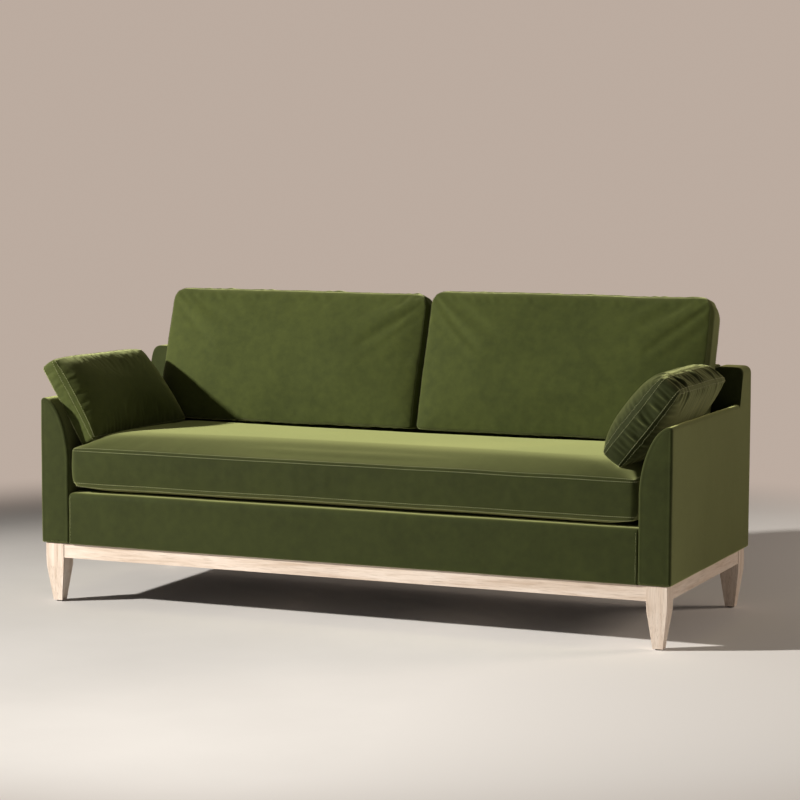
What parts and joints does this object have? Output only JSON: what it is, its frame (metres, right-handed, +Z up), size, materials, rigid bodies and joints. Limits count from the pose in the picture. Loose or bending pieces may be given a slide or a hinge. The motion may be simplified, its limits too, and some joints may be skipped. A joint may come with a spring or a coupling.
{
  "type": "upholstered sofa with wooden legs",
  "caption": "Family sofa: velvet body with sloping arms, loose bench seat, back cushions and arm pillows, on a pale oak base with tapered legs.",
  "frame": {"origin": "on the floor, under the middle of the sofa's bounding box", "axes": "+X along the sofa to the right of someone facing it, +Y from the front to the back, +Z up"},
  "size_m": [2.1604, 0.87, 1.003],
  "materials": {
    "oak": "washed oak, matt",
    "frame_wood": "planed hardwood, unfinished",
    "zinc_steel": "zinc plated",
    "velvet": "velvet pile",
    "filling": "fibre-wrapped foam",
    "deck_felt": "needled felt",
    "cambric": "thin non-woven",
    "webbing": "woven elastic",
    "nylon": "dark moulded",
    "zip_nylon": "woven tape with coil",
    "zip_metal": "antique"
  },
  "bodies": {
    "frame": {"leg_front_left": "oak", "leg_front_right": "oak", "leg_rear_right": "oak", "leg_rear_left": "oak", "base_rail_front": "oak", "base_rail_rear": "oak", "base_rail_right": "oak", "base_rail_left": "oak", "base_corner_braces": "frame_wood", "base_cross_rails": "frame_wood", "base_bolts": "zinc_steel", "base_bolt_washers": "zinc_steel", "leg_glides": "nylon", "seat_rail_front": "frame_wood", "seat_rail_rear": "frame_wood", "seat_rail_right": "frame_wood", "seat_rail_left": "frame_wood", "spring_rail": "frame_wood", "seat_stretchers": "frame_wood", "seat_corner_blocks": "frame_wood", "seat_springs": "zinc_steel", "spring_clips": "zinc_steel", "spring_tie_wires": "zinc_steel", "deck_pad": "deck_felt", "front_border": "velvet", "dust_cover": "cambric", "arm_cover_right": "velvet", "arm_cover_left": "velvet", "arm_front_board_right": "frame_wood", "arm_front_board_left": "frame_wood", "arm_top_rail_right": "frame_wood", "arm_top_rail_left": "frame_wood", "arm_front_post_right": "frame_wood", "arm_front_post_left": "frame_wood", "back_cover": "velvet", "back_post_right": "frame_wood", "back_post_left": "frame_wood", "back_centre_post": "frame_wood", "back_top_rail": "frame_wood", "back_webbing": "webbing"},
    "seat_cushion": {"seat_cushion_cover": "velvet", "seat_cushion_filling": "filling", "seat_cushion_zip": "zip_nylon"},
    "seat_cushion_zip_slider": {"seat_cushion_zip_slider": "zip_metal"},
    "back_cushion_left": {"back_cushion_left_cover": "velvet", "back_cushion_left_filling": "filling", "back_cushion_left_zip": "zip_nylon"},
    "back_cushion_left_zip_slider": {"back_cushion_left_zip_slider": "zip_metal"},
    "back_cushion_right": {"back_cushion_right_cover": "velvet", "back_cushion_right_filling": "filling", "back_cushion_right_zip": "zip_nylon"},
    "back_cushion_right_zip_slider": {"back_cushion_right_zip_slider": "zip_metal"},
    "arm_pillow_left": {"arm_pillow_left_cover": "velvet", "arm_pillow_left_filling": "filling", "arm_pillow_left_zip": "zip_nylon"},
    "arm_pillow_left_zip_slider": {"arm_pillow_left_zip_slider": "zip_metal"},
    "arm_pillow_right": {"arm_pillow_right_cover": "velvet", "arm_pillow_right_filling": "filling", "arm_pillow_right_zip": "zip_nylon"},
    "arm_pillow_right_zip_slider": {"arm_pillow_right_zip_slider": "zip_metal"}
  },
  "joints": [
    {"name": "seat_cushion_lift", "type": "slide", "parent": "frame", "child": "seat_cushion", "axis": [0, 0, 1], "range_m": [0, 0.45]},
    {"name": "back_cushion_left_lift", "type": "slide", "parent": "seat_cushion", "child": "back_cushion_left", "axis": [0, 0, 1], "range_m": [0, 0.45]},
    {"name": "back_cushion_right_lift", "type": "slide", "parent": "seat_cushion", "child": "back_cushion_right", "axis": [0, 0, 1], "range_m": [0, 0.45]},
    {"name": "arm_pillow_left_lift", "type": "slide", "parent": "seat_cushion", "child": "arm_pillow_left", "axis": [0, 0, 1], "range_m": [0, 0.45]},
    {"name": "arm_pillow_right_lift", "type": "slide", "parent": "seat_cushion", "child": "arm_pillow_right", "axis": [0, 0, 1], "range_m": [0, 0.45]},
    {"name": "seat_cushion_zip_slide", "type": "slide", "parent": "seat_cushion", "child": "seat_cushion_zip_slider", "axis": [-1, 0, 0], "range_m": [0, 1.771]},
    {"name": "back_cushion_left_zip_slide", "type": "slide", "parent": "back_cushion_left", "child": "back_cushion_left_zip_slider", "axis": [-1, 0, 0], "range_m": [0, 0.811]},
    {"name": "back_cushion_right_zip_slide", "type": "slide", "parent": "back_cushion_right", "child": "back_cushion_right_zip_slider", "axis": [-1, 0, 0], "range_m": [0, 0.825]},
    {"name": "arm_pillow_left_zip_slide", "type": "slide", "parent": "arm_pillow_left", "child": "arm_pillow_left_zip_slider", "axis": [-0.5138, 0.0359, 0.8572], "range_m": [0, 0.221]},
    {"name": "arm_pillow_right_zip_slide", "type": "slide", "parent": "arm_pillow_right", "child": "arm_pillow_right_zip_slider", "axis": [0.6157, 0, 0.788], "range_m": [0, 0.221]}
  ]
}
